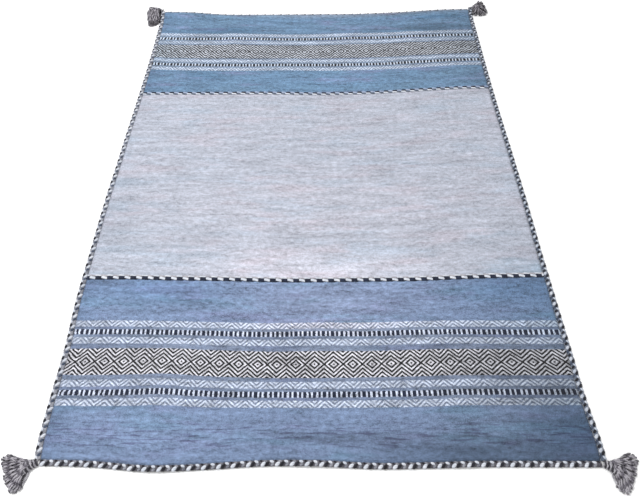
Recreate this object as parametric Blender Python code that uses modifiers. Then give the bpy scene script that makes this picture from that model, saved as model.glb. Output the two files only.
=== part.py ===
"""A flat-woven kilim: one web with a plaited edge, two twined cross cords and four corner tassels.

Metres, +Z up. X runs across the rug and Y from its near end to its far end. The origin lies on
the underside, at the middle of the rug. The rug lies as it was unrolled: its weft lines bow a
little, its far end runs off to one side and curls up, and a few low ripples are left in it.
"""
import math

import bpy
import bmesh
import numpy as np
from mathutils import Vector

# Sizes of the whole rug, over its edge plaits
RUG_WIDTH = 1.400
RUG_LENGTH = 1.992
CLOTH_THICK = 0.004
GAP = 0.0003

# Plaits sewn round the edge, and the cords twined across the web
PLAIT_WIDTH = 0.015
PLAIT_HEIGHT = 0.009
CROSS_CORD_WIDTH = 0.015
CROSS_CORD_HEIGHT = 0.0038
CROSS_CORD_LINES = {"near": -0.441, "far": 0.434}
CROSS_CORD_SHORT = 0.001
FAR_PLAIT_TUCK = 0.0010

# The far end curls up over its last stretch
CURL_HEIGHT = 0.0070
CURL_LENGTH = 0.066

# Cells of the web's grid, and the extra rows that the curl needs
CELLS_ACROSS = 24
CELLS_ALONG = 30
CURL_ROWS = (0.915, 0.936, 0.958)

# How far each weft line drifts from straight, in millimetres, at even stations across the rug
WEFT_STATION_PITCH = 0.140
WEFT_LINES = (
    # place along the rug, then the drift from the left edge to the right edge
    (-0.996, (11, 6, -7, -2, 6, 4, -3, -2, 0, -1, -2)),
    (-0.804, (5, 4, 6, -1, -4, -5, -4, -2, 1, 0, 0)),
    (-0.626, (5, 6, 3, -1, -5, -3, -4, 0, 1, -1, -1)),
    (-0.441, (5, 5, 1, -2, -6, -8, -6, -5, 1, 6, 8)),
    (0.434, (-10, -9, -9, -7, -8, -12, -9, 0, 13, 25, 29)),
    (0.617, (0, -7, -11, -12, -9, -11, -8, -2, 10, 24, 28)),
    (0.799, (-4, -8, -8, -8, -13, -11, -3, 1, 10, 20, 23)),
    (0.996, (4, -1, -19, -21, -19, -17, -16, -8, 5, 21, 27)),
)

# How far the two long edges stand off their straight lines, in millimetres, +X to the right
SIDE_LINES = (
    # place along the rug, left edge, right edge
    (-0.996, 6, 6),
    (-0.940, 0, 9),
    (-0.820, -1, 2),
    (-0.680, 0, 1),
    (-0.525, -7, 0),
    (-0.350, -7, -1),
    (-0.100, -6, -1),
    (0.060, -1, -1),
    (0.320, 5, -4),
    (0.620, 11, -3),
    (0.880, 11, 0),
    (0.996, 7, 2),
)

# Low ripples left by the folds that the rug was stored in
RIPPLES = (
    # across, along, half width, half length, height
    (-0.400, -0.860, 0.085, 0.340, 0.0040),
    (0.360, -0.900, 0.070, 0.330, 0.0028),
    (-0.020, -1.000, 0.110, 0.150, 0.0028),
    (-0.360, 0.760, 0.070, 0.230, 0.0030),
    (0.400, 0.730, 0.080, 0.230, 0.0030),
    (0.690, -0.180, 0.090, 0.200, 0.0024),
    (-0.690, 0.180, 0.090, 0.200, 0.0020),
)

# Tassels: the neck leaves the corner along one heading and the locks fan out from its end
TASSELS = (
    # name, corner, neck heading, neck length, first and last lock heading, first and last reach, rise
    ("near_left", (-1, -1), 199.0, 0.028, 168.0, 246.0, 0.080, 0.070, 1.0),
    ("near_right", (1, -1), -20.0, 0.028, 13.0, -66.0, 0.076, 0.070, 1.0),
    ("far_left", (-1, 1), 172.0, 0.076, 231.0, 259.0, 0.094, 0.096, 1.6),
    ("far_right", (1, 1), 2.0, 0.028, 48.0, -42.0, 0.084, 0.078, 1.3),
)
TIP_BULGE = 0.13
HEAD_REACH = 0.56
HEAD_SIDES = 12
NECK_HALF_WIDTH = 0.0072
LEAST_FAN_HALF_WIDTH = 0.0125
KNOT_RINGS = (
    # place along the neck, half width, height
    (-0.0068, 0.0026, 0.0050),
    (-0.0046, 0.0054, 0.0085),
    (-0.0006, 0.0070, 0.0105),
    (0.0045, 0.0068, 0.0105),
)
NECK_RINGS = (
    # share of the neck, growth towards the fan's own width, height, how square the section is
    (0.26, 0.10, 0.0110, 0.0),
    (0.40, 0.30, 0.0130, 0.3),
    (0.56, 0.50, 0.0150, 0.7),
    (0.72, 0.70, 0.0165, 1.0),
    (0.86, 0.86, 0.0168, 1.0),
    (1.00, 1.04, 0.0158, 1.0),
)
LOCK_WIDTH = 0.0046
LOCK_LAYERS = (
    # locks, share of the reach, share of the fan, height of the underside
    (9, 1.00, 1.00, 0.0000),
    (8, 0.94, 0.88, 0.0053),
    (6, 0.86, 0.66, 0.0106),
)
LOCK_GIRTHS = (0.66, 0.84, 1.0, 0.98, 0.66)
LOCK_ROOT = 0.11
SQUARING = 0.6
WELD_DISTANCE = 0.00001

MM = 0.001
HALF_WIDTH = RUG_WIDTH / 2
HALF_LENGTH = RUG_LENGTH / 2
CLOTH_HALF_WIDTH = HALF_WIDTH - PLAIT_WIDTH
CLOTH_HALF_LENGTH = HALF_LENGTH - PLAIT_WIDTH


def smooth_between(xs, ys, x):
    """Value at x of the smooth curve through the points of a short table."""
    x = min(max(x, xs[0]), xs[-1])
    i = min(max(int(np.searchsorted(xs, x)) - 1, 0), len(xs) - 2)
    before, after = max(i - 1, 0), min(i + 2, len(xs) - 1)
    step = xs[i + 1] - xs[i]
    slope_a = (ys[i + 1] - ys[before]) / (xs[i + 1] - xs[before])
    slope_b = (ys[after] - ys[i]) / (xs[after] - xs[i])
    t = (x - xs[i]) / step
    return ((1 + 2 * t) * (1 - t) ** 2 * ys[i] + t * (1 - t) ** 2 * step * slope_a
            + t * t * (3 - 2 * t) * ys[i + 1] + t * t * (t - 1) * step * slope_b)


def weft_drift(u, v):
    """How far a thread at (u, v) lies beyond its straight place along the rug."""
    stations = [WEFT_STATION_PITCH * (i - 5) for i in range(11)]
    lines = [line for line, _ in WEFT_LINES]
    drifts = [smooth_between(stations, drift, u) for _, drift in WEFT_LINES]
    return MM * smooth_between(lines, drifts, v)


def side_drift(u, v):
    """How far the warp at (u, v) lies to the right of its straight place."""
    lines = [row[0] for row in SIDE_LINES]
    left = smooth_between(lines, [row[1] for row in SIDE_LINES], v)
    right = smooth_between(lines, [row[2] for row in SIDE_LINES], v)
    share = (u + HALF_WIDTH) / RUG_WIDTH
    return MM * (left + (right - left) * share)


def bump(distance, half_span):
    """A soft hump, 1 at the middle and 0 from half_span outwards."""
    return 0.5 + 0.5 * math.cos(math.pi * min(abs(distance) / half_span, 1.0))


def lift(u, v):
    """Height of the web's underside above the floor."""
    ripples = sum(height * bump(u - across, half_width) * bump(v - along, half_length)
                  for across, along, half_width, half_length, height in RIPPLES)
    rise = min(max((v - (CLOTH_HALF_LENGTH - CURL_LENGTH)) / CURL_LENGTH, 0.0), 1.0)
    return ripples * (1.0 - rise) + CURL_HEIGHT * rise * rise * (3 - 2 * rise)


def place(u, v, height=0.0):
    """World place of a point of the straight, flat design."""
    return Vector((u + side_drift(u, v), v + weft_drift(u, v), lift(u, v) + height))


def yarn(name, colour, roughness):
    """A plain woollen or cotton finish."""
    material = bpy.data.materials.new(name)
    material.use_nodes = True
    shader = material.node_tree.nodes["Principled BSDF"]
    shader.inputs["Base Color"].default_value = (*colour, 1.0)
    shader.inputs["Roughness"].default_value = roughness
    shader.inputs["Metallic"].default_value = 0.0
    return material


def add_object(name, data, collection, material):
    """Link a mesh or curve as a named object with its own finish."""
    obj = bpy.data.objects.new(name, data)
    collection.objects.link(obj)
    data.materials.append(material)
    return obj


def steps(low, high, count):
    return [low + (high - low) * i / count for i in range(count + 1)]


def rows_along():
    """Rows of the web's grid: even ones, then the closer ones of the curl."""
    curl_start = CLOTH_HALF_LENGTH - CURL_LENGTH
    even = steps(-CLOTH_HALF_LENGTH, CLOTH_HALF_LENGTH, CELLS_ALONG)
    return [v for v in even if v < curl_start] + list(CURL_ROWS) + [CLOTH_HALF_LENGTH]


def make_cloth(collection, material):
    """The web: a grid laid through its drifted threads, given its thickness upwards."""
    rows = rows_along()
    columns = steps(-CLOTH_HALF_WIDTH, CLOTH_HALF_WIDTH, CELLS_ACROSS)
    bm = bmesh.new()
    bmesh.ops.create_grid(bm, x_segments=CELLS_ACROSS, y_segments=len(rows) - 1, size=1.0)
    for vert in bm.verts:
        column = round((vert.co.x + 1) / 2 * CELLS_ACROSS)
        row = round((vert.co.y + 1) / 2 * (len(rows) - 1))
        vert.co = place(columns[column], rows[row])
    mesh = bpy.data.meshes.new("cloth")
    bm.to_mesh(mesh)
    bm.free()
    obj = add_object("cloth", mesh, collection, material)
    shell = obj.modifiers.new("thickness", "SOLIDIFY")
    shell.thickness = CLOTH_THICK
    shell.offset = 1.0
    return obj


def make_cord(name, points, width, height, collection, material):
    """A cord of oval section along a row of points given at its own middle height."""
    curve = bpy.data.curves.new(name, "CURVE")
    curve.dimensions = "3D"
    curve.twist_mode = "Z_UP"
    curve.bevel_depth = width / 2
    curve.bevel_resolution = 2
    curve.use_fill_caps = True
    squash = height / width
    spline = curve.splines.new("POLY")
    spline.points.add(len(points) - 1)
    for spot, point in zip(spline.points, points):
        spot.co = (point.x, point.y, point.z / squash, 1.0)
    obj = add_object(name, curve, collection, material)
    obj.scale = (1.0, 1.0, squash)
    return obj


def beside(u, v, side, end):
    """Middle of a plait, at its own height, beside the web's edge at (u, v)."""
    offset = PLAIT_WIDTH / 2
    return place(u, v, PLAIT_HEIGHT / 2) + Vector((side * offset, end * offset, 0.0))


def make_plaits(collection, material):
    """Four plaits along the web's edges. The far one lies on the floor behind the curled end."""
    rows = rows_along()
    columns = steps(-CLOTH_HALF_WIDTH, CLOTH_HALF_WIDTH, CELLS_ACROSS)
    left = [beside(-CLOTH_HALF_WIDTH, v, -1, 0) for v in rows]
    right = [beside(CLOTH_HALF_WIDTH, v, 1, 0) for v in rows]
    near = [beside(u, -CLOTH_HALF_LENGTH, 0, -1) for u in columns]
    far = [beside(u, CLOTH_HALF_LENGTH, 0, 1) for u in columns]
    for point in far:
        point.y -= FAR_PLAIT_TUCK
        point.z = PLAIT_HEIGHT / 2
    for name, points in (("left", left), ("right", right), ("near", near), ("far", far)):
        make_cord("plait_" + name, points, PLAIT_WIDTH, PLAIT_HEIGHT, collection, material)


def make_cross_cords(collection, material):
    """The two twined cords that part the grey field from the end panels."""
    middle = CLOTH_THICK + GAP + CROSS_CORD_HEIGHT / 2
    end_x = CLOTH_HALF_WIDTH - CROSS_CORD_SHORT
    for end, line in CROSS_CORD_LINES.items():
        points = [place(u, line, middle) for u in steps(-end_x, end_x, CELLS_ACROSS)]
        make_cord("cross_cord_" + end, points, CROSS_CORD_WIDTH, CROSS_CORD_HEIGHT,
                  collection, material)


def heading(degrees):
    return Vector((math.cos(math.radians(degrees)), math.sin(math.radians(degrees)), 0.0))


def bend(start, via, end, share):
    """Point on the soft bend from start towards via and on to end."""
    return start.lerp(via, share).lerp(via.lerp(end, share), share)


def bend_way(start, via, end, share):
    """Direction of the same bend at that point."""
    return (via - start).lerp(end - via, share).normalized()


def make_head(name, knot, via, end, fan_half_width, rise):
    """The tied head: a knot and a neck lofted through rings that all rest on the floor."""
    first_way = bend_way(knot, via, end, 0.0)
    rings = [(knot + first_way * along, first_way, half_width, height, 0.0)
             for along, half_width, height in KNOT_RINGS]
    for share, growth, height, square in NECK_RINGS:
        half_width = NECK_HALF_WIDTH + (fan_half_width - NECK_HALF_WIDTH) * growth
        rings.append((bend(knot, via, end, share), bend_way(knot, via, end, share),
                      half_width, height * rise, square))
    bm = bmesh.new()
    loops = []
    for centre, ahead, half_width, height, square in rings:
        across = Vector((-ahead.y, ahead.x, 0.0))
        loop = []
        for i in range(HEAD_SIDES):
            turn = 2 * math.pi * i / HEAD_SIDES
            aside = squared(math.cos(turn), square) * half_width
            up = (0.5 + 0.5 * squared(math.sin(turn), square)) * height
            loop.append(bm.verts.new(centre + across * aside + Vector((0.0, 0.0, up))))
        loops.append(loop)
    for loop, following in zip(loops, loops[1:]):
        for i in range(HEAD_SIDES):
            j = (i + 1) % HEAD_SIDES
            bm.faces.new((loop[i], loop[j], following[j], following[i]))
    bm.faces.new(loops[0][::-1])
    bm.faces.new(loops[-1])
    bmesh.ops.recalc_face_normals(bm, faces=bm.faces)
    mesh = bpy.data.meshes.new(name)
    bm.to_mesh(mesh)
    bm.free()
    return mesh


def squared(value, square):
    """A sine or cosine pushed outwards, so that a round section turns into a squarish one."""
    return math.copysign(abs(value) ** (1.0 - SQUARING * square), value)


def add_lock(curve, points):
    """One four-sided lock with its flat side down, slender at its root and its tip."""
    spline = curve.splines.new("POLY")
    spline.points.add(len(points) - 1)
    for spot, point, girth in zip(spline.points, points, LOCK_GIRTHS):
        spot.co = (*point, 1.0)
        spot.tilt = math.pi / 4
        spot.radius = girth


def make_locks(name, knot, via, fan, reach, rise, collection):
    """All the locks of one tassel as one mesh, layer over layer."""
    curve = bpy.data.curves.new(name, "CURVE")
    curve.dimensions = "3D"
    curve.twist_mode = "Z_UP"
    curve.bevel_depth = LOCK_WIDTH / math.sqrt(2)
    curve.bevel_resolution = 0
    curve.use_fill_caps = True
    for count, reach_share, fan_share, underside in LOCK_LAYERS:
        for i in range(count):
            share = 0.5 + fan_share * (i / (count - 1) - 0.5)
            bulge = 1.0 + TIP_BULGE * math.sin(math.pi * share)
            length = (reach[0] + (reach[1] - reach[0]) * share) * reach_share * bulge
            tip = knot + heading(fan[0] + (fan[1] - fan[0]) * share) * length
            points = []
            for along, girth in zip(steps(HEAD_REACH - LOCK_ROOT, 1.0, 4), LOCK_GIRTHS):
                up = underside * rise + LOCK_WIDTH * girth / 2
                points.append(bend(knot, via, tip, along) + Vector((0.0, 0.0, up)))
            add_lock(curve, points)
    guide = bpy.data.objects.new(name, curve)
    collection.objects.link(guide)
    bpy.context.view_layer.update()
    graph = bpy.context.evaluated_depsgraph_get()
    mesh = bpy.data.meshes.new_from_object(guide.evaluated_get(graph))
    bpy.data.objects.remove(guide)
    bm = bmesh.new()
    bm.from_mesh(mesh)
    bmesh.ops.remove_doubles(bm, verts=bm.verts, dist=WELD_DISTANCE)
    bmesh.ops.recalc_face_normals(bm, faces=bm.faces)
    bm.to_mesh(mesh)
    bm.free()
    return mesh


def make_tassel(row, collection, guides, material):
    """A tassel: its tied head with every lock fused to it at the root."""
    name, corner, neck_heading, neck_length, first, last, first_reach, last_reach, rise = row
    side, end = corner
    knot = beside(side * CLOTH_HALF_WIDTH, end * CLOTH_HALF_LENGTH, side, end)
    knot.z = 0.0
    via = knot + heading(neck_heading) * neck_length
    tips = [knot + heading(first) * first_reach, knot + heading(last) * last_reach]
    middle_reach = (1.0 + TIP_BULGE) * (first_reach + last_reach) / 2
    middle_tip = knot + heading((first + last) / 2) * middle_reach
    head_end = bend(knot, via, middle_tip, HEAD_REACH)
    fan_half_width = max(((tips[1] - tips[0]).length * HEAD_REACH ** 2 + LOCK_WIDTH) / 2,
                         LEAST_FAN_HALF_WIDTH)
    head_mesh = make_head("tassel_" + name, knot, knot.lerp(via, HEAD_REACH), head_end,
                          fan_half_width, rise)
    head = add_object("tassel_" + name, head_mesh, collection, material)
    locks_mesh = make_locks("locks_" + name, knot, via, (first, last), (first_reach, last_reach),
                            rise, guides)
    locks = bpy.data.objects.new("locks_" + name, locks_mesh)
    guides.objects.link(locks)
    locks.hide_render = True
    locks.display_type = "WIRE"
    union = head.modifiers.new("locks", "BOOLEAN")
    union.operation = "UNION"
    union.solver = "EXACT"
    union.use_self = True
    union.object = locks


def main():
    for old in list(bpy.data.objects):
        bpy.data.objects.remove(old)
    kilim = bpy.data.collections.new("kilim")
    guides = bpy.data.collections.new("guides")
    bpy.context.scene.collection.children.link(kilim)
    bpy.context.scene.collection.children.link(guides)
    make_cloth(kilim, yarn("woven cotton", (0.48, 0.55, 0.64), 0.92))
    make_plaits(kilim, yarn("plaited cotton", (0.30, 0.31, 0.34), 0.9))
    make_cross_cords(kilim, yarn("twined cotton", (0.42, 0.44, 0.49), 0.9))
    tassel_yarn = yarn("tassel yarn", (0.27, 0.25, 0.26), 0.95)
    for row in TASSELS:
        make_tassel(row, kilim, guides, tassel_yarn)


main()
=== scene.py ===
"""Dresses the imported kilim: the woven web, its plaited edge, two twined cords, four tassels.

Metres, in the frame of the solids. A thread at (u, v) of the straight, flat design lies where
place(u, v) puts it, so the web, its patterns, plaits and cords all follow the same drifted weave.
"""

import math
from collections import namedtuple

import bmesh
import bpy
import numpy as np
from mathutils import Matrix, Vector


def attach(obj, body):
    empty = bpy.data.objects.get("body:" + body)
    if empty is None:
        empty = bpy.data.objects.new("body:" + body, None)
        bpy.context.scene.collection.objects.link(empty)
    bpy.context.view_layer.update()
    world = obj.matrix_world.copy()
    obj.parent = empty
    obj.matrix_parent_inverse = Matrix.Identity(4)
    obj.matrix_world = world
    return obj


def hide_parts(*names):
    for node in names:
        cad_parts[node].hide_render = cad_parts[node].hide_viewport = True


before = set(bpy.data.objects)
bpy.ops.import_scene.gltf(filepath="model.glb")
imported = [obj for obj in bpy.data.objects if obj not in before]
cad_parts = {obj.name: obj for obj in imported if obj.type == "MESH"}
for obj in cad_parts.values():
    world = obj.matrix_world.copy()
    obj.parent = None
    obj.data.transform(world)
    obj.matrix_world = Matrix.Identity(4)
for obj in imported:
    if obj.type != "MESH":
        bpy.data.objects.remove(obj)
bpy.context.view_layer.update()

MM = 0.001

# Sizes shared with the solids
RUG_WIDTH = 1.400
RUG_LENGTH = 1.992
CLOTH_THICK = 0.004
GAP = 0.0003
PLAIT_WIDTH = 0.015
PLAIT_HEIGHT = 0.009
CROSS_CORD_HEIGHT = 0.0038
CROSS_CORD_LINES = {"near": -0.441, "far": 0.434}
CROSS_CORD_SHORT = 0.001
FAR_PLAIT_TUCK = 0.0010
CURL_HEIGHT = 0.0070
CURL_LENGTH = 0.066
HALF_WIDTH = RUG_WIDTH / 2
CLOTH_HALF_WIDTH = HALF_WIDTH - PLAIT_WIDTH
CLOTH_HALF_LENGTH = RUG_LENGTH / 2 - PLAIT_WIDTH

# How far each weft line drifts from straight, in millimetres, at even stations across the rug
WEFT_STATION_PITCH = 0.140
WEFT_LINES = (
    # place along the rug, then the drift from the left edge to the right edge
    (-0.996, (11, 6, -7, -2, 6, 4, -3, -2, 0, -1, -2)),
    (-0.804, (5, 4, 6, -1, -4, -5, -4, -2, 1, 0, 0)),
    (-0.626, (5, 6, 3, -1, -5, -3, -4, 0, 1, -1, -1)),
    (-0.441, (5, 5, 1, -2, -6, -8, -6, -5, 1, 6, 8)),
    (0.434, (-10, -9, -9, -7, -8, -12, -9, 0, 13, 25, 29)),
    (0.617, (0, -7, -11, -12, -9, -11, -8, -2, 10, 24, 28)),
    (0.799, (-4, -8, -8, -8, -13, -11, -3, 1, 10, 20, 23)),
    (0.996, (4, -1, -19, -21, -19, -17, -16, -8, 5, 21, 27)),
)

# How far the two long edges stand off their straight lines, in millimetres, +X to the right
SIDE_LINES = (
    # place along the rug, left edge, right edge
    (-0.996, 6, 6),
    (-0.940, 0, 9),
    (-0.820, -1, 2),
    (-0.680, 0, 1),
    (-0.525, -7, 0),
    (-0.350, -7, -1),
    (-0.100, -6, -1),
    (0.060, -1, -1),
    (0.320, 5, -4),
    (0.620, 11, -3),
    (0.880, 11, 0),
    (0.996, 7, 2),
)

# Low ripples left by the folds that the rug was stored in
RIPPLES = (
    # across, along, half width, half length, height
    (-0.400, -0.860, 0.085, 0.340, 0.0040),
    (0.360, -0.900, 0.070, 0.330, 0.0028),
    (-0.020, -1.000, 0.110, 0.150, 0.0028),
    (-0.360, 0.760, 0.070, 0.230, 0.0030),
    (0.400, 0.730, 0.080, 0.230, 0.0030),
    (0.690, -0.180, 0.090, 0.200, 0.0024),
    (-0.690, 0.180, 0.090, 0.200, 0.0020),
)

# Soft creases where the rug was folded in quarters: low ridges and troughs on top of the ripples
CREASES = (
    # across, along, half width, half length, height
    (-0.352, 0.000, 0.016, 0.900, -0.0006),
    (0.004, -0.700, 0.014, 0.330, 0.0007),
    (0.010, 0.620, 0.014, 0.360, -0.0005),
    (0.348, 0.300, 0.016, 0.640, 0.0005),
)

# Tassels: the neck leaves the corner along one heading and the yarns fan out from its end
Tassel = namedtuple("Tassel", ("name", "side", "end", "neck_heading", "neck_length", "first",
                               "last", "first_reach", "last_reach", "rise"))
TASSELS = (
    # name, side, end, neck heading, neck length, first and last yarn heading, their reaches, rise
    Tassel("near_left", -1, -1, 199.0, 0.028, 168.0, 246.0, 0.080, 0.070, 1.0),
    Tassel("near_right", 1, -1, -20.0, 0.028, 13.0, -66.0, 0.076, 0.070, 1.0),
    Tassel("far_left", -1, 1, 172.0, 0.076, 231.0, 259.0, 0.094, 0.096, 1.6),
    Tassel("far_right", 1, 1, 2.0, 0.028, 48.0, -42.0, 0.084, 0.078, 1.3),
)
TIP_BULGE = 0.13
HEAD_REACH = 0.56
NECK_HALF_WIDTH = 0.0072
FAN_MARGIN = 0.0023
LEAST_FAN_HALF_WIDTH = 0.0125
HEAD_RINGS = (
    # share of the neck, growth towards the fan's own width, height
    (-0.10, -0.20, 0.0085),
    (0.00, 0.00, 0.0105),
    (0.26, 0.10, 0.0110),
    (0.40, 0.30, 0.0130),
    (0.56, 0.50, 0.0150),
    (0.72, 0.70, 0.0165),
    (0.86, 0.86, 0.0168),
    (1.00, 1.04, 0.0158),
)

# How finely the scene's own pieces are drawn
WEB_CELL = 0.008
SIDE_PLAIT_POINTS = 190
END_PLAIT_POINTS = 140
CORD_POINTS = 160
YARN_POINTS = 30
BINDING_POINTS_PER_TURN = 26

# Plait of three strands: each strand shows one lobe in the outer row and one in the inner row
PLAIT_RUNS = {
    # repeat, start, core yarn, core width, core height, share of the lobes' height
    "left": (0.0344, 0.0338, "grey", 0.0150, 0.0046, 1.00),
    # the near plait's core is a dark yarn: a painted shadow line along the plait's lower edge
    "near": (0.0359, 0.0173, "painted_shadow", 0.0146, 0.0048, 1.00),
    "right": (0.0352, 0.0167, "slate", 0.0134, 0.0046, 1.00),
    "far": (0.0355, 0.0050, "grey", 0.0130, 0.0052, 0.85),
}
END_LOBES = (
    # yarn, place in the repeat, offset to the outer side, lean in degrees, length, width, height
    ("grey", 0.33, 0.0026, 44.0, 0.0124, 0.0084, 0.0070),
    ("grey", 0.86, -0.0042, 150.0, 0.0120, 0.0064, 0.0060),
    ("black", 0.00, 0.0016, 47.0, 0.0160, 0.0092, 0.0088),
    ("black", 0.58, -0.0048, 146.0, 0.0084, 0.0058, 0.0070),
    ("white", 0.70, 0.0020, 38.0, 0.0166, 0.0096, 0.0086),
    ("white", 0.27, -0.0036, 158.0, 0.0128, 0.0076, 0.0082),
)
LEFT_LOBES = (
    ("grey", 0.36, 0.0040, 34.0, 0.0122, 0.0066, 0.0064),
    ("grey", 0.85, -0.0044, 150.0, 0.0110, 0.0058, 0.0058),
    ("black", 0.00, 0.0034, 168.0, 0.0124, 0.0088, 0.0088),
    ("dusk", 0.50, -0.0022, 140.0, 0.0124, 0.0090, 0.0076),
    ("white", 0.69, 0.0040, 20.0, 0.0120, 0.0066, 0.0072),
    ("white", 0.18, -0.0026, 137.0, 0.0164, 0.0080, 0.0087),
)
RIGHT_LOBES = (
    ("grey", 0.32, 0.0046, 34.0, 0.0116, 0.0056, 0.0062),
    ("dusk", 0.84, -0.0044, 150.0, 0.0110, 0.0060, 0.0060),
    ("black", 0.00, 0.0026, 142.0, 0.0158, 0.0086, 0.0088),
    ("black", 0.52, -0.0016, 140.0, 0.0136, 0.0082, 0.0080),
    # the right plait's white lobes are a dimmer copy of the white yarn: painted shade where the
    # light falls off to the right
    ("soft_white", 0.70, 0.0034, 40.0, 0.0122, 0.0076, 0.0078),
    ("soft_white", 0.19, -0.0016, 152.0, 0.0146, 0.0090, 0.0086),
)
PLAIT_LOBES = {"left": LEFT_LOBES, "near": END_LOBES, "right": RIGHT_LOBES, "far": END_LOBES}
LOBE_JITTER = 0.0009
LOBE_SPIN = 7.0

# How far a cord's strand swings up and down, and how far below the cord's top its middle stays
TWINE_DIVE = 0.0017
TWINE_UNDER_TOP = 0.0019

# Cross cords: two rows, each of two strands twined through the web
TWINE_REPEAT = 0.03495
TWINE_STARTS = {"near": 0.0105, "far": 0.0023}
TWINE_STRANDS = (
    # near yarn, far yarn, offset to the field, near width, far width, thickness, place, slant
    ("navy", "navy", -0.0026, 0.0124, 0.0078, 0.0038, 0.00, 0.0002),
    ("white", "blue_white", -0.0022, 0.0086, 0.0074, 0.0036, 0.50, 0.0016),
    ("white", "white", 0.0054, 0.0050, 0.0070, 0.0034, 0.06, 0.0006),
    ("pale", "slate", 0.0052, 0.0050, 0.0064, 0.0032, 0.56, 0.0006),
)

# Tassel yarn, two plies twisted together
PLY_RADIUS = 0.0019
PLY_OFFSET = 0.00115
YARN_RADIUS = PLY_RADIUS + PLY_OFFSET
YARN_TURNS = 46.0
TONE_SEED = 5
PATH_SEED = 7
YARN_LAYERS = (
    # yarns, share of the reach, share of the fan, height of the middle above the floor
    (17, 1.00, 1.00, 0.0031),
    (12, 0.97, 0.94, 0.0084),
    (10, 0.92, 0.84, 0.0132),
    (7, 0.84, 0.72, 0.0168),
)
TIPS = {
    # where the yarns end: heading in degrees and reach in millimetres from the knot
    "near_left": ((166, 78), (170, 88), (176, 91), (183, 84), (200, 78), (215, 79), (227, 80),
                  (237, 86), (243, 79), (248, 72), (252, 60)),
    "near_right": ((19, 77), (15, 84), (9, 88), (-3, 80), (-18, 75), (-38, 73), (-54, 79),
                   (-60, 83), (-66, 76), (-72, 68), (-75, 56)),
    "far_left": ((236, 95), (246, 117), (254, 110), (261, 93), (267, 66)),
    "far_right": ((52, 88), (40, 92), (11, 80), (-6, 83), (-25, 86), (-40, 72), (-56, 58),
                  (-76, 40)),
}
YARN_BENDS = {
    # degrees from the neck's heading to the bend of the first and the last yarn, share of height,
    # share of the neck's length to the first bend, how many yarns underneath are darkened as
    # painted shade
    "near_left": (-30.0, 0.0, 1.0, 1.0, 19.5),
    "near_right": (36.0, 0.0, 1.0, 1.0, 17.5),
    "far_left": (-8.0, -15.0, 1.15, 1.32, 37.5),
    "far_right": (9.0, 9.0, 1.20, 1.0, 44.5),
}
BINDINGS = {
    # turns, where they start and how far they span along the head, first yarn, second yarn
    "near_left": (4.6, -0.04, 1.02, "charcoal", "pale"),
    "near_right": (4.6, -0.04, 1.02, "charcoal", "pale"),
    "far_left": (2.4, -0.04, 0.46, "charcoal", "grey"),
    "far_right": (1.6, -0.04, 0.36, "grey", "charcoal"),
}
BINDING_PLY = 0.92
BINDING_BACK = 0.06
BINDING_ASIDE = 0.0006
BINDING_ABOVE = 0.0004

# How unevenly a tassel's yarns lie: the least and the most of each
YARN_SHIFTS = (-0.3, 0.3)
REACH_SHARES = (0.965, 1.01)
WAVE_LENGTHS = (0.030, 0.052)
SWAYS = (0.0010, 0.0026)

# How a yarn swells, where on its run it is drawn from, and how far off the last yarn bends
SWELL = 0.0020
SWELLS_PER_WAVE = 0.8
YARN_ROOT = 0.10
LAST_BEND_LENGTH = 0.028

# Start and span, as shares of a yarn's run, of where its waves set in, it rises and it drops
WAVES_SET_IN = (0.25, 0.4)
RISES = (0.0, 0.45)
DROPS = (0.70, 0.30)
LEAST_RISE = 0.35
LAST_DROP = 0.45

# Loose yarns beside the near tassels, and the side that they bow to
LOOSE_SIDES = {"near_left": 1.0, "near_right": -1.0}
LOOSE_YARNS = (
    # place across the fan, bow, height
    (0.97, 0.0075, 0.0050),
    (0.86, 0.0035, 0.0115),
)
LOOSE_ROOT = 0.25
LOOSE_REACH = 0.97
LOOSE_BOWS = (0.30, 0.70)
LOOSE_DROP = 0.4

# The camera, and the room's light and floor
CAMERA_PLACE = (-0.006075, -1.391160, 1.436597)
CAMERA_PITCH = 0.93271297
CAMERA_YAW = 0.01318034
CAMERA_ROLL = 0.00747425
CAMERA_FOCUS_PIXELS = 570.0922
PICTURE_WIDTH_PIXELS = 640
SENSOR_MM = 36.0
ROOM_LIGHT = 1.41
SKY_LIGHT = 0.80
SKY_SEEN_BRIGHTER = 0.3
LAMP_PLACE = (-1.5, 0.2, 3.4)
LAMP_TARGET = (0.1, 0.0, 0.0)
LAMP_SIZE = 1.4
LAMP_WATTS = 100.0
FLOOR_SIZE = 20.0
FLOOR_WHITE = (0.96, 0.96, 0.96, 1.0)


def new_object(name, data):
    made = bpy.data.objects.new(name, data)
    bpy.context.scene.collection.objects.link(made)
    return made


def make_camera():
    """The camera that the rug was seen through, at a standing person's chest height."""
    ahead = Vector((math.sin(CAMERA_YAW) * math.cos(CAMERA_PITCH),
                    math.cos(CAMERA_YAW) * math.cos(CAMERA_PITCH),
                    -math.sin(CAMERA_PITCH)))
    level_right = Vector((math.cos(CAMERA_YAW), -math.sin(CAMERA_YAW), 0.0))
    level_up = level_right.cross(ahead)
    right = math.cos(CAMERA_ROLL) * level_right + math.sin(CAMERA_ROLL) * level_up
    up = -math.sin(CAMERA_ROLL) * level_right + math.cos(CAMERA_ROLL) * level_up
    camera = new_object("camera", bpy.data.cameras.new("camera"))
    camera.data.sensor_width = SENSOR_MM
    camera.data.lens = CAMERA_FOCUS_PIXELS * SENSOR_MM / PICTURE_WIDTH_PIXELS
    turn = Matrix((right, up, -ahead)).transposed().to_4x4()
    camera.matrix_world = Matrix.Translation(CAMERA_PLACE) @ turn
    bpy.context.scene.camera = camera


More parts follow.
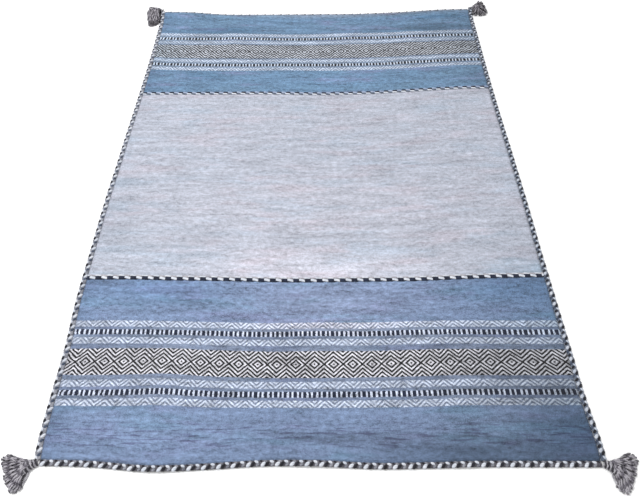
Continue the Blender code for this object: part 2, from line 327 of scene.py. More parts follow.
# Where a thread of the design lies
def smooth_between(xs, ys, x):
    """Values at x of the smooth curve through the points of a short table.

    ys holds one number for each of xs, or one row of numbers, a number for each of x.
    """
    xs = np.asarray(xs, float)
    ys = np.asarray(ys, float)
    x = np.clip(x, xs[0], xs[-1])
    i = np.clip(np.searchsorted(xs, x) - 1, 0, len(xs) - 2)
    before, after = np.maximum(i - 1, 0), np.minimum(i + 2, len(xs) - 1)

    def at(index):
        return ys[index] if ys.ndim == 1 else np.take_along_axis(ys, index[None], 0)[0]

    step = xs[i + 1] - xs[i]
    slope_a = (at(i + 1) - at(before)) / (xs[i + 1] - xs[before])
    slope_b = (at(after) - at(i)) / (xs[after] - xs[i])
    t = (x - xs[i]) / step
    return ((1 + 2 * t) * (1 - t) ** 2 * at(i) + t * (1 - t) ** 2 * step * slope_a
            + t * t * (3 - 2 * t) * at(i + 1) + t * t * (t - 1) * step * slope_b)


def column_at(table, column, x):
    """A column of a table at x, a place in the table's first column."""
    return smooth_between([row[0] for row in table], [row[column] for row in table], x)


def across_at(pitch, row, u):
    """A row of numbers at u, where they stand at even stations about the rug's middle line."""
    return smooth_between(pitch * (np.arange(len(row)) - len(row) // 2), row, u)


def weft_drift(u, v):
    """How far threads at (u, v) lie beyond their straight places along the rug."""
    drifts = np.stack([across_at(WEFT_STATION_PITCH, drift, u) for _, drift in WEFT_LINES])
    return MM * smooth_between([line for line, _ in WEFT_LINES], drifts, v)


def side_drift(u, v):
    """How far the warps at (u, v) lie to the right of their straight places."""
    left, right = column_at(SIDE_LINES, 1, v), column_at(SIDE_LINES, 2, v)
    return MM * (left + (right - left) * (u + HALF_WIDTH) / RUG_WIDTH)


def ramp(value, start, span):
    """A straight rise from 0 at start to 1 a span later, held there beyond."""
    return np.clip((value - start) / span, 0.0, 1.0)


def bump(distance, half_span):
    """A soft hump, 1 at the middle and 0 from half_span outwards."""
    return 0.5 + 0.5 * np.cos(np.pi * np.minimum(np.abs(distance) / half_span, 1.0))


def humps(table, u, v):
    total = np.zeros_like(u)
    for across, along, half_width, half_length, height in table:
        total += height * bump(u - across, half_width) * bump(v - along, half_length)
    return total


def lift(u, v):
    """Height of the web's underside above the floor."""
    rise = ramp(v, CLOTH_HALF_LENGTH - CURL_LENGTH, CURL_LENGTH)
    return humps(RIPPLES, u, v) * (1.0 - rise) + CURL_HEIGHT * rise * rise * (3 - 2 * rise)


def place(u, v, height=0.0):
    """World places, one row each, of points of the straight, flat design."""
    u = np.atleast_1d(np.asarray(u, float))
    v = np.atleast_1d(np.asarray(v, float))
    u, v = np.broadcast_arrays(u, v)
    return np.stack([u + side_drift(u, v), v + weft_drift(u, v), lift(u, v) + height], 1)


def beside(u, v, side, end):
    """Middle of a plait, at its own height, beside the web's edge at (u, v)."""
    offset = PLAIT_WIDTH / 2
    return place(u, v, PLAIT_HEIGHT / 2) + np.array((side * offset, end * offset, 0.0))


# Small tools for node trees
SHADER = "ShaderNodeTree"
GEOMETRY_NODES = "GeometryNodeTree"
FLOAT = "NodeSocketFloat"
COLOUR = "NodeSocketColor"
GEOMETRY = "NodeSocketGeometry"
MATERIAL = "NodeSocketMaterial"
WHOLE = "NodeSocketInt"
VALUE_KINDS = {float: FLOAT, int: WHOLE, tuple: COLOUR}
OUTPUT_KINDS = {"VALUE": FLOAT, "RGBA": COLOUR, "GEOMETRY": GEOMETRY}
FULL_TURN = 2 * math.pi
UP = (0.0, 0.0, 1.0)


class Term:
    """An output in a node tree that adds, multiplies and compares as a number does."""

    def __init__(self, tree, socket):
        self.tree = tree
        self.socket = socket

    def __add__(self, other):
        return calc("ADD", self, other)

    def __sub__(self, other):
        return calc("SUBTRACT", self, other)

    def __rsub__(self, other):
        return calc("SUBTRACT", other, self)

    def __mul__(self, other):
        return calc("MULTIPLY", self, other)

    def __truediv__(self, other):
        return calc("DIVIDE", self, other)

    def __mod__(self, other):
        return calc("FLOORED_MODULO", self, other)

    def __gt__(self, other):
        return calc("GREATER_THAN", self, other)

    def __lt__(self, other):
        return calc("LESS_THAN", self, other)

    def __abs__(self):
        return calc("ABSOLUTE", self)

    __radd__ = __add__


def feed(tree, sockets, values):
    """Give sockets, by name or number, a plain value or another node's output."""
    for name, value in values.items():
        if isinstance(value, Term):
            tree.links.new(value.socket, sockets[name])
        else:
            sockets[name].default_value = value


def outputs_of(tree, node):
    return {socket.name: Term(tree, socket) for socket in node.outputs}


def new_node(tree, kind, feeds, **settings):
    """A new node with its settings, and its sockets fed by name or number."""
    node = tree.nodes.new(kind)
    for name, value in settings.items():
        setattr(node, name, value)
    feed(tree, node.inputs, feeds)
    return node


def put(tree, kind, feeds=None, out=0, **settings):
    """One output, by name or number, of a new node."""
    return Term(tree, new_node(tree, kind, feeds or {}, **settings).outputs[out])


def tree_of(*terms):
    return next(term.tree for term in terms if isinstance(term, Term))


def calc(operation, *terms):
    return put(tree_of(*terms), "ShaderNodeMath", dict(enumerate(terms)), operation=operation)


def arrow(operation, *terms):
    return put(tree_of(*terms), "ShaderNodeVectorMath", dict(enumerate(terms)), operation=operation)


def vector(x, y, z=0.0):
    return put(tree_of(x, y, z), "ShaderNodeCombineXYZ", {0: x, 1: y, 2: z})


def split(value):
    """The three parts of a vector."""
    node = new_node(value.tree, "ShaderNodeSeparateXYZ", {0: value})
    return list(outputs_of(value.tree, node).values())


def grey_of(value):
    return put(value.tree, "ShaderNodeCombineColor", {0: value, 1: value, 2: value})


def map_of(tree, name):
    """Where a point lies on one of its piece's own maps."""
    return split(put(tree, "ShaderNodeUVMap", uv_map=name))[:2]


def blend(share, first, second, mode="MIX"):
    return put(tree_of(share, first, second), "ShaderNodeMix", {0: share, 6: first, 7: second},
               out=2, data_type="RGBA", blend_type=mode)


def noise(where, scale=1.0, detail=2.0, roughness=0.5):
    """Noise from 0 to 1, spread about a half."""
    return put(where.tree, "ShaderNodeTexNoise",
               {"Vector": where, "Scale": scale, "Detail": detail, "Roughness": roughness})


def spread(value, low, high, first=0.0, second=1.0):
    """Value spread smoothly from low..high to first..second, and held there beyond."""
    return put(value.tree, "ShaderNodeMapRange", {0: value, 1: low, 2: high, 3: first, 4: second},
               interpolation_type="SMOOTHSTEP")


def ridges(value):
    """Rounded ridges from 0 to 1, one for each whole number."""
    return abs(calc("SINE", value * math.pi))


def near_whole(value, reach):
    return calc("COMPARE", value, calc("ROUND", value), reach)


def make_group(name, tree_kind, inputs, draw):
    """A node group. Inputs holds a kind or a first value by name, and draw makes the outputs."""
    tree = bpy.data.node_groups.new(name, tree_kind)
    for label, value in inputs.items():
        if value in (GEOMETRY, MATERIAL):
            tree.interface.new_socket(label, in_out="INPUT", socket_type=value)
        else:
            kind = VALUE_KINDS[type(value)]
            socket = tree.interface.new_socket(label, in_out="INPUT", socket_type=kind)
            socket.default_value = value
    made = draw(outputs_of(tree, tree.nodes.new("NodeGroupInput")))
    for label, value in made.items():
        tree.interface.new_socket(label, in_out="OUTPUT",
                                  socket_type=OUTPUT_KINDS[value.socket.type])
    feed(tree, tree.nodes.new("NodeGroupOutput").inputs, made)
    return tree


def use_group(tree, group, feeds):
    """Outputs, by name, of a group that is set to work in a tree."""
    kind = "ShaderNodeGroup" if group.bl_idname == SHADER else "GeometryNodeGroup"
    node = tree.nodes.new(kind)
    node.node_tree = group
    feed(tree, node.inputs, feeds)
    return outputs_of(tree, node)


def seen_as(red, green, blue):
    """The dye that shows as a screen colour, 0 to 255, on a flat face in this room's light."""
    def linear(value):
        share = value / 255
        return share / 12.92 if share <= 0.04045 else ((share + 0.055) / 1.055) ** 2.4
    return tuple(linear(value) / ROOM_LIGHT for value in (red, green, blue)) + (1.0,)


def dimmed(dye, share):
    return tuple(share * value for value in dye[:3]) + (1.0,)


def new_material(name):
    material = bpy.data.materials.new(name)
    material.use_nodes = True
    return material


def finish_shader(material, looks, relief, sheen):
    """Join a colour, a roughness and a height to the material's own shader."""
    tree = material.node_tree
    raised = put(tree, "ShaderNodeBump",
                 {"Height": looks["Height"], "Strength": 1.0, "Distance": relief})
    feed(tree, tree.nodes["Principled BSDF"].inputs, {
        "Base Color": looks["Color"], "Roughness": looks["Roughness"], "Normal": raised,
        "Metallic": 0.0, "Specular IOR Level": CLOTH_SHINE, "Sheen Weight": sheen,
        "Sheen Roughness": SHEEN_ROUGHNESS})


# Finishes: the spun yarn of plaits, cords and tassels
CLOTH_SHINE = 0.25
SHEEN_ROUGHNESS = 0.55
YARN_SHEEN = 0.15
YARN_RELIEF = 0.0005
PLY_RELIEF = 0.0004
GROOVES = 3.0
GROOVE_SHADE = 0.35
YARN_LAY = 130.0
PLY_LAY = 150.0
GROOVE_HEIGHT = 0.75
FIBRES_PER_METRE = 260.0
FIBRES_ACROSS = 3.0
FIBRE_HEIGHT = 0.5
FIBRE_SHARE = 0.55
MOTTLES_PER_METRE = 75.0

# The detail and the roughness of the fibres' noise
FIBRE_NOISE = (3.0, 0.6)

# What spread() takes after its value: low and high, and what they turn into if not 0 and 1
MOTTLE_SPREAD = (0.36, 0.64)
GROOVE_SPREAD = (0.45, 0.0)
YARN_ROUGHNESS = (0.3, 0.7, 0.97, 0.85)
DYES = {
    # name of the yarn, light and dark screen colour
    "white": ("white cotton yarn", (252, 255, 263), (216, 224, 238)),
    # a dimmer copy of the white yarn: painted shade on the right plait
    "soft_white": ("soft white cotton yarn", (234, 239, 248), (194, 203, 220)),
    "blue_white": ("blue white cotton yarn", (196, 210, 236), (158, 174, 206)),
    "black": ("black cotton yarn", (46, 47, 58), (20, 20, 28)),
    "navy": ("navy cotton yarn", (44, 54, 80), (20, 24, 40)),
    "grey": ("grey cotton yarn", (178, 180, 190), (112, 115, 126)),
    # a dark yarn that stands for the shadow under the near plait's edge: painted shadow
    "painted_shadow": ("dark core yarn", (112, 110, 118), (70, 68, 76)),
    "dusk": ("dusk blue cotton yarn", (92, 104, 128), (52, 62, 82)),
    "slate": ("slate cotton yarn", (128, 138, 156), (84, 94, 112)),
    "pale": ("pale binding yarn", (222, 220, 226), (160, 158, 168)),
    "charcoal": ("charcoal binding yarn", (82, 79, 88), (42, 40, 48)),
    "marled": ("marled tassel yarn", (232, 228, 236), (78, 74, 84)),
}

# Marled yarn: shares of its dyes at its darkest and palest, and of each ply's dye in the other.
# The tone is lower on the yarns underneath, as painted shade, and varies at random as the yarn's
# own uneven grey
PALE_PLY_DARKEST = 0.35
DARK_PLY_TONES = (0.6, 2.4)
DARK_IN_PALE_PLY = 0.45
PALE_IN_DARK_PLY = 0.3


def draw_yarn(given):
    """Fibres and ply grooves that run along a yarn: colour, roughness and height."""
    tree = given["Light"].tree
    along, around = map_of(tree, "yarn")
    turned = around * GROOVES + along * given["Lay per Metre"]
    groove = ridges(turned)
    fibre = noise(vector(along * FIBRES_PER_METRE, turned * FIBRES_ACROSS), 1.0, *FIBRE_NOISE)
    mottle = noise(put(tree, "ShaderNodeTexCoord", out="Object"), MOTTLES_PER_METRE)
    mottled = fibre * FIBRE_SHARE + mottle * (1.0 - FIBRE_SHARE)
    body = blend(spread(mottled, *MOTTLE_SPREAD), given["Dark"], given["Light"])
    shade = 1.0 - spread(groove, *GROOVE_SPREAD) * GROOVE_SHADE
    return {"Color": blend(1.0, body, grey_of(shade), "MULTIPLY"),
            "Roughness": spread(fibre, *YARN_ROUGHNESS),
            "Height": groove * GROOVE_HEIGHT + fibre * FIBRE_HEIGHT}


def make_yarn(name, group, light, dark):
    """A matt spun cotton yarn of one colour."""
    material = new_material(name)
    looks = use_group(material.node_tree, group,
                      {"Light": light, "Dark": dark, "Lay per Metre": YARN_LAY})
    finish_shader(material, looks, YARN_RELIEF, YARN_SHEEN)
    return material


def make_marled_yarn(name, group, light, dark):
    """Two plies of unlike grey in one yarn: the ply's own number picks its colour."""
    material = new_material(name)
    tree = material.node_tree
    # tone: low on the yarns underneath as painted shade, and at random the yarn's own uneven grey
    ply, tone = (put(tree, "ShaderNodeAttribute", out="Fac", attribute_name=attribute)
                 for attribute in ("ply", "tone"))
    pale = blend(tone, dimmed(light, PALE_PLY_DARKEST), light)
    deep = blend(tone, *(dimmed(dark, share) for share in DARK_PLY_TONES))
    looks, deep_ply = (
        use_group(tree, group, {"Light": most, "Dark": least, "Lay per Metre": PLY_LAY})
        for most, least in ((pale, blend(DARK_IN_PALE_PLY, pale, deep)),
                            (blend(PALE_IN_DARK_PLY, deep, pale), deep)))
    looks["Color"] = blend(ply, looks["Color"], deep_ply["Color"])
    finish_shader(material, looks, PLY_RELIEF, YARN_SHEEN)
    return material


def make_yarns():
    group = make_group("spun yarn", SHADER, {"Light": (0.8, 0.8, 0.8, 1.0),
                                             "Dark": (0.5, 0.5, 0.5, 1.0),
                                             "Lay per Metre": YARN_LAY}, draw_yarn)
    yarns = {}
    for colour, (name, light, dark) in DYES.items():
        make = make_marled_yarn if colour == "marled" else make_yarn
        yarns[colour] = make(name, group, seen_as(*light), seen_as(*dark))
    return yarns


# Finish of the web: weave, charts and bands, all on its threads' map in metres
RIB = 0.0016
BEAD = 0.0014
RIB_HEIGHT = 0.6
BEAD_HEIGHT = 0.4
SLUB_HEIGHT = 0.8
WEB_RELIEF = 0.0006
WEB_SHEEN = 0.10
WEB_ROUGHNESS = (0.0, 1.0, 0.86, 0.98)

# Band charts: the columns and rows of their steps, and the lines that they are drawn along
STEP_ACROSS = 0.0128
STEP_ALONG = 0.0119
FAR_STEP_ALONG = 0.0148
CENTRE_COLUMN = -0.011
GROUP_CENTRES = {"near": -0.715, "far": 0.708}
FAR_GROUP_SCALE = 1.022
GROUP_HALF = 0.1255
DIAMOND_HALF = {"near": 0.0388, "far": 0.0455}
NEAR_DIAMONDS_DOWN = 0.0030
DOWN_SPREAD = (-0.50, 0.0, 0.2, 1.0)
HALF_DIAMOND_COLUMNS = 2.0
HALF_DASH_COLUMNS = 1.0
DIAMOND_LINE = 0.27
ZIGZAG_LINE = 0.25
DASH_LINE = 0.089
DASH_HALF = 0.0080
DASHES_DARK = (0.35, 0.75)
ZIGZAG_LINES = (0.0625, 0.1155)
ZIGZAG_HALF = 0.0098
CHECK_ACROSS = 0.0048
CHECK_ALONG = 0.0076
CHECK_DEPTH = 0.5

# Screen colours at the near end and at the far end
WEB_DYES = {
    "blue": ((136, 157, 193), (115, 149, 183)),
    "zigzag": ((226, 237, 257), (217, 232, 252)),
    "dash ground": ((224, 233, 254), (230, 242, 261)),
    "dash": ((34, 42, 64), (10, 14, 26)),
    "diamond ground": ((237, 237, 246), (214, 220, 232)),
}

# Screen colours that both ends share, and how their clouds and shares are spread
BLUE_CLOUDS = (118, 152, 182), (144, 154, 196)
BLUE_CLOUD_SPREAD = (0.50, 0.70, 0.0, 0.65)
BLUE_DEEP = (98, 124, 158)
DEEP_ON_LEFT = 0.35
FIELD = (200, 205, 220)
FIELD_CLOUDS = (192, 204, 222), (206, 203, 217)
FIELD_CLOUD_SPREAD = (0.48, 0.68, 0.0, 0.8)
PLUM = (84, 84, 122)
PLUM_LINE = -0.915
PLUM_BAND_SPREAD = (0.040, 0.022)
PLUM_ROW_SPREAD = (0.52, 0.64, 0.0, 0.6)
GAP_GREY = (144, 152, 170)
GAP_DEEP = (118, 128, 152)
GAP_SPREAD = (0.40, 0.62)
PLAIN_IN_GAP = 0.45
ZIGZAG_GROUND = (138, 150, 176)
WORN_SPREAD = (-0.02, 0.25, 0.0, 0.32)
WORN_ON_LEFT = 0.12
DIAMOND_BLACK = (30, 30, 35)

# How far the charts' warps stand off even spacing, in millimetres, from the left edge to the right
CHART_STATION_PITCH = 0.100
CHART_DRIFTS = {
    "near": (11, 8, 5.5, 3, 2.3, 0.5, -1, -1, -2.5, -5, -10, -13.5, -23, -36, -49),
    "far": (9, 5, 1, -2.5, -4, -6, -8, -8, -9.5, -12.8, -16, -19, -28, -37, -50),
}

# Noise drawn out along the wefts: waves per metre across and along, then the seed
WARP_WANDER = (30.0, 60.0, 5.0)
WEFT_BEAT = (24.0, 12.0, 8.0)
PLUM_ROWS = (14.0, 150.0, 21.0)

# How far threads stray from the charts, how much further near the left side, and where that is
WANDER_REACH = (0.0028, 0.010)
BEAT_REACH = (0.0030, 0.006)
LEFT_SIDE = (0.60, 0.685)

# Uneven weft: slubs from fine to broad, and two slow clouds
WEFT_NOISES = {
    # waves per metre across and along, seed, detail
    "Slub": (56.0, 115.0, 3.0, 3.5),
    "Row": (7.0, 46.0, 9.0, 4.0),
    "Cloud": (3.5, 16.0, 15.0, 3.0),
    "Other Cloud": (4.0, 20.0, 27.0, 3.0),
}
WEFT_NOISE_ROUGHNESS = 0.65
WEFT_DEPTHS = {"Speckle": 0.50, "Slub": 1.4, "Row": 1.2}
PANEL_DEPTH = 1.35
LESS_IN_FIELD = 0.45
LESS_AT_NEAR_END = 0.22

# Where the web is a little deeper, paler, bluer or pinker than the rest, and where shade is painted
# on it
BLUE_PER_WARMTH = 0.4
TINTS_AND_PAINTED_SHADE = (
    # across, along, half width, half length, tone, warmth
    # the spots that darken the near panels towards the right, most of all at the near right corner,
    # are painted shade where the light falls off; the rest are the web's own uneven tone and hue
    (0.72, -1.02, 0.80, 0.33, 0.58, -0.02),
    (0.69, -0.90, 0.24, 0.24, 0.72, -0.04),
    (0.74, -0.50, 0.42, 0.24, 0.74, -0.14),
    (0.03, -0.53, 0.42, 0.13, 1.16, 0.10),
    (0.08, -0.922, 0.38, 0.035, 0.72, 0.0),
    (0.02, 0.51, 0.52, 0.09, 1.10, -0.02),
    (0.48, 0.865, 0.36, 0.045, 0.62, -0.04),
    (0.52, 0.94, 0.26, 0.020, 0.82, -0.16),
    (-0.42, 0.862, 0.28, 0.040, 0.66, -0.16),
    (0.70, 0.78, 0.34, 0.32, 0.78, -0.04),
    (-0.70, 0.70, 0.22, 0.24, 0.90, -0.06),
    (0.0, -0.40, 0.66, 0.12, 1.30, 0.04),
    (0.64, -0.40, 0.16, 0.06, 1.16, 0.0),
    (-0.63, -0.375, 0.18, 0.08, 1.12, 0.0),
    (-0.65, -0.542, 0.14, 0.05, 1.20, 0.0),
    (0.0, -0.826, 0.30, 0.036, 1.12, 0.0),
    (0.0, -0.602, 0.30, 0.034, 1.12, 0.04),
    (-0.45, 0.545, 0.18, 0.05, 0.84, -0.08),
    (0.68, 0.47, 0.16, 0.16, 0.84, 0.0),
    (0.0, 0.968, 0.46, 0.026, 1.24, 0.16),
    (0.46, 0.984, 0.44, 0.015, 1.22, 0.16),
    (-0.46, 0.984, 0.44, 0.015, 1.08, 0.14),
    (-0.70, -0.24, 0.26, 0.46, 0.94, -0.01),
    (-0.40, -0.90, 0.34, 0.080, 1.14, 0.0),
    (0.38, -0.966, 0.42, 0.060, 0.62, -0.06),
    (0.66, -0.915, 0.22, 0.12, 0.80, -0.16),
    (0.56, -0.74, 0.36, 0.20, 0.69, -0.02),
    (0.0, -0.16, 0.80, 0.24, 1.08, 0.03),
    (-0.48, -0.48, 0.34, 0.08, 0.94, -0.12),
    (0.56, -0.48, 0.24, 0.08, 0.86, -0.10),
    (0.35, 0.992, 1.10, 0.046, 0.90, 0.30),
)


def draw_weave(given):
    """A weft-faced plain weave: beads of weft over warp ribs."""
    rib = given["Across"] / given["Rib"]
    rib_number = calc("FLOOR", rib)
    odd = rib_number % 2.0 * 0.5
    bead = given["Along"] / given["Bead"] + odd
    bead_number = calc("FLOOR", bead)
    cell = vector(rib_number, bead_number)
    speckle = put(cell.tree, "ShaderNodeTexWhiteNoise", {"Vector": cell}, out="Value",
                  noise_dimensions="3D")
    return {"Rib Across": (rib_number + 0.5) * given["Rib"],
            "Bead Along": (bead_number + 0.5 - odd) * given["Bead"],
            "Speckle": speckle,
            "Height": ridges(rib) * RIB_HEIGHT + ridges(bead) * BEAD_HEIGHT}


def woven_noise(u, v, waves, detail=2.0, roughness=0.5):
    """Noise drawn out along the wefts."""
    waves_across, waves_along, seed = waves
    return noise(vector(u * waves_across, v * waves_along, seed), 1.0, detail, roughness)


def draw_streaks(given):
    """Uneven weft: its tone about 1, its slubs, and two slow clouds from 0 to 1."""
    found = {"Speckle": given["Speckle"]}
    for name, (*waves, detail) in WEFT_NOISES.items():
        found[name] = woven_noise(given["Across"], given["Along"], waves, detail,
                                  WEFT_NOISE_ROUGHNESS)
    tone = 1.0
    for name, depth in WEFT_DEPTHS.items():
        tone = tone + (found[name] - 0.5) * (given["Depth"] * depth)
    return {"Tone": tone, **{name: found[name] for name in ("Slub", "Cloud", "Other Cloud")}}


def draw_spot(given):
    """A soft oval spot: 1 at its middle and 0 from its rim outwards."""
    across, along = ((given[name] - given["Middle " + name]) / given[half]
                     for name, half in (("Across", "Half Width"), ("Along", "Half Length")))
    return {"Amount": spread(calc("SQRT", across * across + along * along), 1.0, 0.0)}


def draw_charts(given):
    """The woven charts of one band group: nested diamonds, zigzags and dashes, 0 or 1 each.

    Across is measured from a diamond's middle, and Along from the group's middle line.
    """
    along, step = given["Along"], given["Step Along"]
    column = given["Across"] / STEP_ACROSS
    from_centre = calc("PINGPONG", column, HALF_DIAMOND_COLUMNS)
    away = abs(along)
    from_middle = abs(along + given["Diamonds Down"])
    inner, outer = ZIGZAG_LINES
    line = (away > DASH_LINE) * (outer - inner) + inner
    above = along - calc("SIGN", along) * line
    slope = HALF_DIAMOND_COLUMNS - from_centre - (0.5 - above / step)
    from_dash = calc("PINGPONG", column, HALF_DASH_COLUMNS)
    narrow, wide = DASHES_DARK
    return {"Diamond Dark": near_whole(from_centre + from_middle / step, DIAMOND_LINE),
            "Zigzag Pale": near_whole(slope, ZIGZAG_LINE),
            "Dash Dark": (from_dash < narrow) + (from_dash > wide),
            "In Diamonds": from_middle < given["Diamond Half"],
            "In Zigzags": abs(above) < ZIGZAG_HALF,
            "In Dashes": calc("COMPARE", away, DASH_LINE, DASH_HALF),
            "In Group": away < GROUP_HALF}


def at_end(far_end, near, far):
    """One number at the rug's near end and another at its far end."""
    return far_end * (far - near) + near


def dyed(far_end, name):
    near, far = WEB_DYES[name]
    return blend(far_end, seen_as(*near), seen_as(*far))


def clouded(weft, colour, dyes, cloud_spread):
    """A colour with slow clouds of two others in it."""
    for name, dye in zip(("Cloud", "Other Cloud"), dyes):
        colour = blend(spread(weft[name], *cloud_spread), colour, seen_as(*dye))
    return colour


def plain_colour(u, v, weft, far_end, in_field, left):
    """The colour of the field and of the end panels, with thin plum rows in the near one."""
    blue = clouded(weft, dyed(far_end, "blue"), BLUE_CLOUDS, BLUE_CLOUD_SPREAD)
    blue = blend(left * DEEP_ON_LEFT, blue, seen_as(*BLUE_DEEP))
    field = clouded(weft, seen_as(*FIELD), FIELD_CLOUDS, FIELD_CLOUD_SPREAD)
    rows = spread(woven_noise(u, v, PLUM_ROWS), *PLUM_ROW_SPREAD)
    plum = spread(abs(v - PLUM_LINE), *PLUM_BAND_SPREAD) * rows
    return blend(plum, blend(in_field, blue, field), seen_as(*PLUM))


def banded_colour(plain, weft, chart, wander, far_end, left):
    """The plain colour with the patterned bands laid over it, the zigzags a little worn."""
    gap = blend(spread(weft["Other Cloud"], *GAP_SPREAD), seen_as(*GAP_GREY), seen_as(*GAP_DEEP))
    worn = spread(wander + left * WORN_ON_LEFT, *WORN_SPREAD)
    pale = chart["Zigzag Pale"] * (1.0 - worn * 2.0) + worn
    banded = blend(chart["In Group"], plain, blend(PLAIN_IN_GAP, gap, plain))
    for where, share, ground, figure in (
            ("In Zigzags", pale, seen_as(*ZIGZAG_GROUND), dyed(far_end, "zigzag")),
            ("In Dashes", chart["Dash Dark"], dyed(far_end, "dash ground"), dyed(far_end, "dash")),
            ("In Diamonds", chart["Diamond Dark"], dyed(far_end, "diamond ground"),
             seen_as(*DIAMOND_BLACK))):
        banded = blend(chart[where], banded, blend(share, ground, figure))
    return banded


def tinted_and_shaded(spot, colour, u, v):
    # each spot multiplies the colour: the web's own tone and hue, and painted shade towards the
    # near right corner
    for middle_across, middle_along, half_width, half_length, tone, warmth in TINTS_AND_PAINTED_SHADE:
        amount = use_group(u.tree, spot, {
            "Across": u, "Along": v, "Middle Across": middle_across, "Middle Along": middle_along,
            "Half Width": half_width, "Half Length": half_length})["Amount"]
        tint_and_shade = (tone * (1 + warmth), tone, tone * (1 - BLUE_PER_WARMTH * warmth), 1.0)
        colour = blend(amount, colour, tint_and_shade, "MULTIPLY")
    return colour


def laid_charts(group, cell, u, v, far_end, left, wander):
    """The charts, on threads that don't lie quite evenly, least of all near the left side."""
    beat = woven_noise(u, v, WEFT_BEAT) - 0.5
    middle = at_end(far_end, GROUP_CENTRES["near"], GROUP_CENTRES["far"])
    drift = map_of(u.tree, "charts")[0] - u
    across = (cell["Rib Across"] - CENTRE_COLUMN
              + (drift + wander * (left * WANDER_REACH[1] + WANDER_REACH[0])))
    along = ((cell["Bead Along"] - middle) / at_end(far_end, 1.0, FAR_GROUP_SCALE)
             + beat * (left * BEAT_REACH[1] + BEAT_REACH[0]))
    down = (1.0 - far_end) * (spread(u, *DOWN_SPREAD) * NEAR_DIAMONDS_DOWN)
    return use_group(u.tree, group, {
        "Across": across, "Along": along, "Diamonds Down": down,
        "Step Along": at_end(far_end, STEP_ALONG, FAR_STEP_ALONG),
        "Diamond Half": at_end(far_end, DIAMOND_HALF["near"], DIAMOND_HALF["far"])})


def web_groups():
    """The effects that the web's material is put together from."""
    thread = {"Across": 0.0, "Along": 0.0}
    return (
        make_group("plain weave", SHADER, {**thread, "Rib": RIB, "Bead": BEAD}, draw_weave),
        make_group("uneven weft", SHADER, {**thread, "Speckle": 0.5, "Depth": 1.0}, draw_streaks),
        make_group("band charts", SHADER, {**thread, "Step Along": STEP_ALONG, "Diamonds Down": 0.0,
                                           "Diamond Half": DIAMOND_HALF["near"]}, draw_charts),
        make_group("soft spot", SHADER, {**thread, "Middle Across": 0.0, "Middle Along": 0.0,
                                         "Half Width": 0.1, "Half Length": 0.1}, draw_spot))


def make_web_finish():
    """The whole web: field, end panels and both groups of patterned bands."""
    weave, streaks, charts, spot = web_groups()
    material = new_material("woven web")
    tree = material.node_tree
    u, v = map_of(tree, "threads")
    cell = use_group(tree, weave, {"Across": u, "Along": v})
    far_end = v > 0.0
    in_field = (v > CROSS_CORD_LINES["near"]) * (v < CROSS_CORD_LINES["far"])
    near_end = v < GROUP_CENTRES["near"] - GROUP_HALF
    depth = PANEL_DEPTH - in_field * LESS_IN_FIELD - near_end * LESS_AT_NEAR_END
    weft = use_group(tree, streaks, {"Across": u, "Along": v, "Speckle": cell["Speckle"],
                                     "Depth": depth})
    left = spread(u * -1.0, *LEFT_SIDE)
    wander = woven_noise(u, v, WARP_WANDER) - 0.5
    chart = laid_charts(charts, cell, u, v, far_end, left, wander)
    plain = plain_colour(u, v, weft, far_end, in_field, left)
    banded = banded_colour(plain, weft, chart, wander, far_end, left)

    # the far diamonds are beaten unevenly, one small check of the weave more than the next
    check = use_group(tree, weave, {"Across": u, "Along": v, "Rib": CHECK_ACROSS,
                                    "Bead": CHECK_ALONG})["Speckle"]
    uneven = (check - 0.5) * (chart["In Diamonds"] * far_end * CHECK_DEPTH)
    colour = blend(1.0, banded, grey_of(weft["Tone"] + uneven), "MULTIPLY")
    # the spots add painted shade towards the near right corner, and the web's own uneven tint
    # elsewhere
    finish_shader(material, {"Color": tinted_and_shaded(spot, colour, u, v),
                             "Roughness": spread(cell["Speckle"], *WEB_ROUGHNESS),
                             "Height": cell["Height"] + weft["Slub"] * SLUB_HEIGHT},
                  WEB_RELIEF, WEB_SHEEN)
    return material


# Trees that sweep strands along a path
CORE_FACETS = 10
STRAND_FACETS = 12
PLY_FACETS = 6
LOBE_SEGMENTS = 14
LOBE_RINGS = 8
CORE_STEP = 0.008
STRAND_STEP = 0.0018
PLY_STEP = 0.0020
LOBES_OFF_ENDS = 0.003
TWINE_SQUARENESS = 3.0
LOBE_LABELS = ("Yarn", "Place", "Outwards", "Lean", "Length", "Width", "Height")
STRAND_LABELS = ("Yarn", "Offset", "Width", "Thickness", "Place", "Slant")


def numbered(kind, number, labels):
    """The names of one part's inputs, where a tree draws several such parts."""
    return {label: f"{kind} {number} {label}" for label in labels}


def part_inputs(kind, count, labels):
    return {name: MATERIAL if label == "Yarn" else 0.0 for number in range(1, count + 1)
            for label, name in numbered(kind, number, labels).items()}


def keep(geometry, name, value, kind="FLOAT", domain="POINT"):
    """Store a value on a shape's points or corners under a name."""
    return put(geometry.tree, "GeometryNodeStoreNamedAttribute",
               {"Geometry": geometry, "Name": name, "Value": value},
               data_type=kind, domain=domain)


def of_yarn(geometry, yarn):
    return put(geometry.tree, "GeometryNodeSetMaterial", {"Geometry": geometry, "Material": yarn})


def smooth(geometry):
    return put(geometry.tree, "GeometryNodeSetShadeSmooth", {"Geometry": geometry})


def resampled(path, step):
    return put(path.tree, "GeometryNodeResampleCurve", {"Curve": path, "Length": step},
               mode="LENGTH")


def ring_of(tree, facets, radius):
    return put(tree, "GeometryNodeCurvePrimitiveCircle",
               {"Resolution": facets, "Radius": radius}, mode="RADIUS")


def run_along(tree):
    return put(tree, "GeometryNodeSplineParameter", out="Length")


